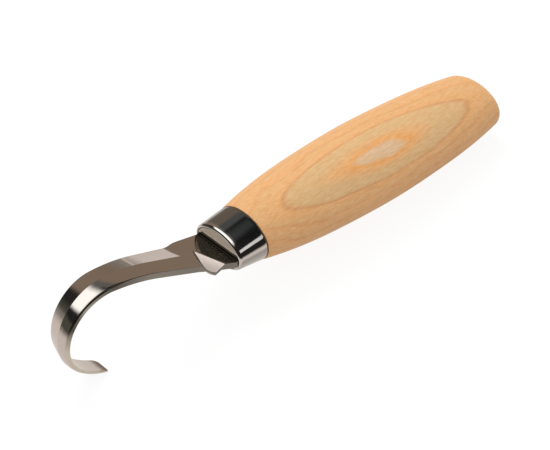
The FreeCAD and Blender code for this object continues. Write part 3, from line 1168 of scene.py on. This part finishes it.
@dataclass
class Handle:
    """Turned oval barrel with a tenon for the ferrule and a pocket for the tang."""

    front: float = -10.0
    length: float = 100.5
    widths: tuple[float, ...] = (21.4, 27.7, 30.6, 31.8, 30.8, 28.1, 22.4)
    depths: tuple[float, ...] = (15.7, 20.2, 21.9, 22.3, 21.0, 18.8, 14.6)
    dome: float = 60.0
    butt_round: float = 3.2
    chamfer: float = 0.35
    tenon_front: float = -1.55
    tenon_less: float = 0.95
    pocket_back: float = -46.9
    pocket_low: float = -2.6
    pocket_high: float = 1.2
    pocket_width: float = 13.8
    pocket_end_width: float = 9.8
    rows: int = 190
    around: int = 160
    cap_end: float = 0.03
    side_end: float = 0.82
    turn_end: float = 0.92
    curve_points: int = 25

    def barrel_tree(self, wood: bpy.types.Material) -> bpy.types.NodeTree:
        """Node tree that turns the barrel from its length, its profile and its rounded end.

        Args:
            wood: the material that the tree sets.

        Returns:
            The tree, whose inputs are the barrel's sizes.
        """
        tree = bpy.data.node_groups.new("turned_barrel", "GeometryNodeTree")
        for name in ("Length", "Width", "Depth", "Butt Round", "Dome", "Chamfer", "Front"):
            tree.interface.new_socket(name, in_out="INPUT", socket_type="NodeSocketFloat")
        for name in ("Rows", "Around"):
            tree.interface.new_socket(name, in_out="INPUT", socket_type="NodeSocketInt")
        tree.interface.new_socket("Geometry", in_out="OUTPUT", socket_type="NodeSocketGeometry")
        net = Net(tree)
        given = {s.name: s for s in net.node("NodeGroupInput").outputs if s.name}
        length, width, depth = (Value(net, given[n]) for n in ("Length", "Width", "Depth"))
        rounding, dome = Value(net, given["Butt Round"]), Value(net, given["Dome"])
        sockets = {"Size X": 1.0, "Size Y": 1.0, "Vertices X": given["Around"], "Vertices Y": given["Rows"]}
        sheet = net.node("GeometryNodeMeshGrid", None, sockets).outputs[0]
        u, v, _ = net.split(net.node("GeometryNodeInputPosition").outputs[0])
        turn = (u + 0.5) * math.tau
        way = v + 0.5
        cap = (way / self.cap_end).held()
        spread = ((way - self.cap_end) / (self.side_end - self.cap_end)).held()
        bend = ((way - self.side_end) / (self.turn_end - self.side_end)).held() * (math.pi / 2.0)
        left = (1.0 - ((way - self.turn_end) / (1.0 - self.turn_end))).held()
        straight = length - rounding - self._sag(width, depth, rounding, dome)
        run = spread * straight + bend.sine() * rounding
        place = run / length
        wide = self._curve(net, place, self.widths) * width / 2.0
        deep = self._curve(net, place, self.depths) * depth / 2.0
        turned = (1.0 - bend.cosine()) * rounding
        cut = (1.0 - run / Value(net, given["Chamfer"])).held() * Value(net, given["Chamfer"])
        wide = (wide - turned - cut) * cap * left
        deep = (deep - turned - cut) * cap * left
        off = (wide * turn.cosine()) ** 2.0 + (deep * turn.sine()) ** 2.0
        rim = (width * self.widths[-1] / max(self.widths) / 2.0 - rounding) ** 2.0
        into = ((way - self.side_end) / (self.turn_end - self.side_end)).held()
        swell = ((rim - off) / (dome * 2.0)).at_least(0.0) * into
        x = Value(net, given["Front"]) - run - swell
        moved = net.join(x, wide * turn.cosine(), deep * turn.sine())
        shaped = net.node("GeometryNodeSetPosition", None, {"Geometry": sheet, "Position": moved}).outputs[0]
        sockets = {"Geometry": shaped, "Distance": 0.001}
        merged = net.node("GeometryNodeMergeByDistance", None, sockets).outputs[0]
        real = net.node("GeometryNodeRealizeInstances", None, {"Geometry": merged}).outputs[0]
        dressed = net.node("GeometryNodeSetMaterial", None, {"Geometry": real, "Material": wood}).outputs[0]
        net.node("NodeGroupOutput", None, {0: dressed})
        return tree

    def _sag(self, width: Value, depth: Value, rounding: Value, dome: Value) -> Value:
        """How far the dome stands out behind the rounded rim."""
        rim = width * (self.widths[-1] / max(self.widths) / 2.0) - rounding
        return rim * rim / (dome * 2.0)

    @staticmethod
    def _curve(net: Net, place: Value, sizes: Sequence[float]) -> Value:
        """Share of the greatest size at one place along the barrel."""
        line = through(sizes, Handle.curve_points)
        points = [(i / (len(line) - 1), size / max(sizes)) for i, size in enumerate(line)]
        made = net.node("ShaderNodeFloatCurve", {"points": points}, {"Factor": 1.0, "Value": place})
        return Value(net, made.outputs[0])

    def tenon(self, ferrule: Ferrule) -> bpy.types.Object:
        """Solid oval tenon inside the ferrule, running a little way into the barrel."""
        points: list[Point] = []
        places = (self.tenon_front, self.front - self.chamfer - 0.5)
        for x in places:
            width, depth = ferrule.oval(x)
            for i in range(self.around):
                turn = math.tau * i / self.around
                y = (width - self.tenon_less) * math.cos(turn)
                points.append((x, y, (depth - self.tenon_less) * math.sin(turn)))
        return solid("handle_tenon", points, tube_faces(2, self.around))

    def pocket(self) -> bpy.types.Object:
        """Tapered block that leaves room for the tang and its adhesive."""
        ends = ((self.tenon_front, self.pocket_width), (self.pocket_back, self.pocket_end_width))
        points: list[Point] = []
        for x, width in ends:
            points += [(x, y, z) for y, z in rectangle(width / 2.0, self.pocket_low, self.pocket_high)]
        return solid("handle_pocket", points, tube_faces(2, 4))

    def build(self, knife: KnifeFrame, ferrule: Ferrule, wood: bpy.types.Material) -> bpy.types.Object:
        """Turns the barrel, adds the tenon and cuts the pocket.

        Args:
            knife: the knife's frame.
            ferrule: the ferrule, which the tenon fits.
            wood: the handle's material.

        Returns:
            The handle.
        """
        piece = bpy.data.objects.new("handle_barrel", bpy.data.meshes.new("handle_barrel"))
        bpy.context.scene.collection.objects.link(piece)
        tree = self.barrel_tree(wood)
        turning = piece.modifiers.new("turning", "NODES")
        turning.node_group = tree
        sizes = {
            "Length": self.length,
            "Width": max(self.widths),
            "Depth": max(self.depths),
            "Butt Round": self.butt_round,
            "Dome": self.dome,
            "Chamfer": self.chamfer,
            "Front": self.front,
            "Rows": self.rows,
            "Around": self.around + 1,
        }
        for item in tree.interface.items_tree:
            if item.item_type == "SOCKET" and item.in_out == "INPUT":
                turning[item.identifier] = sizes[item.name]
        graph = bpy.context.evaluated_depsgraph_get()
        barrel = bpy.data.meshes.new_from_object(piece.evaluated_get(graph))
        piece.modifiers.clear()
        face_outwards(barrel)
        piece.data = barrel
        tools = [(self.tenon(ferrule), "UNION"), (self.pocket(), "DIFFERENCE")]
        for tool, _ in tools:
            tool.data.materials.append(wood)
        piece.data = carve(piece, tools)
        finish_piece(piece, knife, 40.0)
        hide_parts("handle")
        return piece


@dataclass(frozen=True)
class Panel:
    """A soft-edged panel of light or shade round the knife, with its angles in degrees."""

    azimuth: float
    elevation: float
    half_width: float
    half_height: float
    soft: float
    colour: Colour

    def share(self, net: Net, way: Place) -> Value:
        """How far a direction is on this panel: 1 on it and 0 off it."""
        x, y, z = way
        turn = math.radians(self.azimuth)
        ahead = x * math.cos(turn) + y * math.sin(turn)
        beside = y * math.cos(turn) - x * math.sin(turn)
        heading = abs(net.math("ARCTAN2", beside, ahead)) * (180.0 / math.pi)
        height = abs(net.math("ARCSINE", z) * (180.0 / math.pi) - self.elevation)
        wide = heading.smooth(self.half_width + self.soft, self.half_width)
        return wide * height.smooth(self.half_height + self.soft, self.half_height)


@dataclass(frozen=True)
class Softbox:
    """A flat soft-edged light overhead, placed on a level plane one unit above the knife."""

    middle: tuple[float, float]
    turn: float
    half_width: float
    half_length: float
    soft: float
    colour: Colour

    def share(self, _net: Net, way: Place) -> Value:
        """How far a direction is on this light: 1 on it and 0 off it."""
        x, y, z = way
        rise = z.at_least(0.02)
        right, ahead = x / rise - self.middle[0], y / rise - self.middle[1]
        turn = math.radians(self.turn)
        along = abs(right * math.cos(turn) + ahead * math.sin(turn))
        across = abs(right * math.sin(turn) - ahead * math.cos(turn))
        wide = across.smooth(self.half_width + self.soft, self.half_width - self.soft)
        long = along.smooth(self.half_length + self.soft, self.half_length - self.soft)
        return wide * long * z.smooth(0.0, 0.1)


@dataclass
class Studio:
    """Pale floor, soft lights, the panels that the metal mirrors, and the camera."""

    knife: KnifeFrame
    floor_glow: float = 0.89
    floor_tint: Colour = (0.11, 0.11, 0.11)
    floor_near: Colour = (1.16, 1.12, 1.06)
    floor_mid: Colour = (0.71, 0.64, 0.58)
    floor_out: Colour = (0.72, 0.61, 0.55)
    floor_far: Colour = (0.31, 0.26, 0.21)
    floor_start: float = 0.012
    floor_decades: float = 1.3
    floor_stretch: float = 0.3
    floor_dim: float = 0.5
    handle_end: tuple[float, float] = (0.02, 0.045)
    handle_side: tuple[float, float] = (0.06, 0.03)
    floor_reach: float = 12.0
    lamp_distance: float = 1.2
    soft_light: float = 0.95
    shade: Colour = (0.020, 0.019, 0.018)
    width_px: int = 550
    focal: float = 1988.7
    sensor: float = 36.0
    shift: tuple[float, float] = (-0.03178, -0.03692)
    view: Point = (0.53127, 0.57242, 0.62457)
    target: Point = (-29.6, 0.0, 0.0)
    distance: float = 592.2

    def panels(self) -> list[Panel | Softbox]:
        """The panels, each laid over the ones before it."""
        return [
            Panel(-40.0, 6.0, 30.0, 10.0, 8.0, (0.09, 0.09, 0.07)),
            Panel(-125.0, 46.0, 25.0, 6.0, 8.0, (0.16, 0.15, 0.14)),
            Panel(-178.0, 4.0, 22.0, 14.0, 8.0, (0.78, 0.71, 0.65)),
            Panel(-121.0, 11.0, 27.0, 25.0, 6.0, (0.30, 0.22, 0.165)),
            Softbox((0.37, -0.52), 90.0, 0.57, 0.72, 0.20, (1.7, 1.67, 1.63)),
            Panel(119.0, 33.0, 9.0, 5.0, 2.5, (0.95, 0.93, 0.9)),
        ]

    def _floor(self) -> list[tuple[float, Colour]]:
        """Brightness of the floor in the metal, from near the knife outwards."""
        return [
            (0.0, self.floor_near),
            (0.26, self.floor_mid),
            (0.70, self.floor_out),
            (0.95, self.floor_far),
            (1.0, tuple(c / 2.0 for c in self.floor_far)),
        ]

    def build_world(self) -> None:
        """Soft even light for everything, and the panels for what the metal mirrors."""
        world = bpy.data.worlds.new("studio")
        bpy.context.scene.world = world
        world.use_nodes = True
        net = Net(world.node_tree)
        way = net.split(net.node("ShaderNodeTexCoord").outputs["Generated"])
        mirrored: object = self.shade
        for panel in self.panels():
            mirrored = net.mix(panel.share(net, way), mirrored, panel.colour)
        glossy = Value(net, net.node("ShaderNodeLightPath").outputs["Is Glossy Ray"])
        colour = net.mix(glossy, (self.soft_light,) * 3, mirrored)
        sky = net.node("ShaderNodeBackground", None, {"Color": colour, "Strength": 1.0})
        net.node("ShaderNodeOutputWorld", None, {"Surface": sky.outputs[0]})

    def build_floor(self) -> bpy.types.Object:
        """A wide pale floor that glows a little, so that shadows stay faint."""
        material, net = own_material("pale_floor")
        x, y, _ = net.split(net.node("ShaderNodeTexCoord").outputs["Object"])
        away = (x * x * self.floor_stretch + y * y).root()
        steps_away = net.math("LOGARITHM", away.at_least(MM) / self.floor_start, 10.0) / self.floor_decades
        seen = net.ramp(self._floor(), steps_away.held())
        # Painted shadow: what the metal mirrors of the floor is darker close round the handle.
        under = (1.0 - x.smooth(*self.handle_end)) * away.smooth(*self.handle_side)
        seen = net.mix(under * self.floor_dim, seen, (0.0, 0.0, 0.0))
        glossy = Value(net, net.node("ShaderNodeLightPath").outputs["Is Glossy Ray"])
        tint = net.mix(glossy, (self.floor_glow,) * 3, seen)
        glow = net.node("ShaderNodeEmission", None, {"Color": tint, "Strength": 1.0})
        matt = net.node("ShaderNodeBsdfDiffuse", None, {"Color": self.floor_tint})
        both = net.node("ShaderNodeAddShader", None, {0: glow.outputs[0], 1: matt.outputs[0]})
        net.node("ShaderNodeOutputMaterial", None, {"Surface": both.outputs[0]})
        reach = self.floor_reach
        mesh = bpy.data.meshes.new("studio_floor")
        corners = [(-reach, -reach, 0.0), (reach, -reach, 0.0), (reach, reach, 0.0), (-reach, reach, 0.0)]
        mesh.from_pydata(corners, [], [(0, 1, 2, 3)])
        mesh.materials.append(material)
        floor = bpy.data.objects.new("studio_floor", mesh)
        bpy.context.scene.collection.objects.link(floor)
        return floor

    def build_light(self, name: str, way: Point, size: float, power: float) -> None:
        """A soft lamp that the metal doesn't mirror.

        Args:
            name: the lamp's name.
            way: direction from the knife to the lamp.
            size: side of the lamp, in metres.
            power: its power.
        """
        lamp = bpy.data.lights.new(name, "AREA")
        lamp.size = size
        lamp.energy = power
        made = bpy.data.objects.new(name, lamp)
        middle = (Vector(CAD_BOX[0]) + Vector(CAD_BOX[1])) / 2.0
        out = Vector(way).normalized()
        made.location = middle + out * self.lamp_distance
        made.rotation_mode = "QUATERNION"
        made.rotation_quaternion = out.to_track_quat("Z", "Y")
        made.visible_glossy = False
        made.visible_camera = False
        bpy.context.scene.collection.objects.link(made)

    def build_camera(self) -> None:
        """The camera, level in the knife's own frame."""
        back = Vector(self.view).normalized()
        right = Vector((-back.y, back.x, 0.0)).normalized()
        over = back.cross(right)
        columns = [self.knife.turn(v) for v in (right, over, back)]
        turned = Matrix([[column[i] for column in columns] for i in range(3)])
        lens = bpy.data.cameras.new("camera")
        lens.sensor_width = self.sensor
        lens.lens = self.focal / self.width_px * self.sensor
        lens.shift_x, lens.shift_y = self.shift
        lens.clip_start, lens.clip_end = 0.01, 100.0
        made = bpy.data.objects.new("camera", lens)
        place = Vector(self.target) + back * self.distance
        made.matrix_world = Matrix.Translation(self.knife.place(place)) @ turned.to_4x4()
        bpy.context.scene.collection.objects.link(made)
        bpy.context.scene.camera = made

    def build(self) -> None:
        """Makes the whole studio."""
        self.build_world()
        self.build_floor()
        self.build_light("key_lamp", (-0.3, -0.75, 0.8), 0.9, 9.0)
        self.build_camera()
        bpy.context.scene.view_settings.view_transform = "Standard"


def main() -> None:
    """Builds the knife piece by piece, then the studio round it."""
    handle = Handle()
    ferrule = Ferrule()
    knife = KnifeFrame.from_record(frame["record"], handle.length - handle.front)
    LOG.info("ferrule lip at %s, front raised by %.2f degrees", tuple(knife.lip), math.degrees(knife.tilt))
    pieces = [
        Blade().build(knife, GroundSteel().make()),
        ferrule.build(knife, PlatedSteel().make(knife)),
        handle.build(knife, ferrule, OiledBirch().make(knife)),
    ]
    bedding = frame["nodes"]["tang_bedding"]
    resin = SetResin().make(knife)
    for slot in bedding.material_slots:
        slot.material = resin
    if not bedding.material_slots:
        bedding.data.materials.append(resin)
    for piece in pieces + [bedding]:
        LOG.info("%s: %d points, %d faces", piece.name, len(piece.data.vertices), len(piece.data.polygons))
    Studio(knife).build()
    bpy.context.view_layer.update()


if __name__ == "__main__":
    logging.basicConfig(level=logging.INFO)
    main()
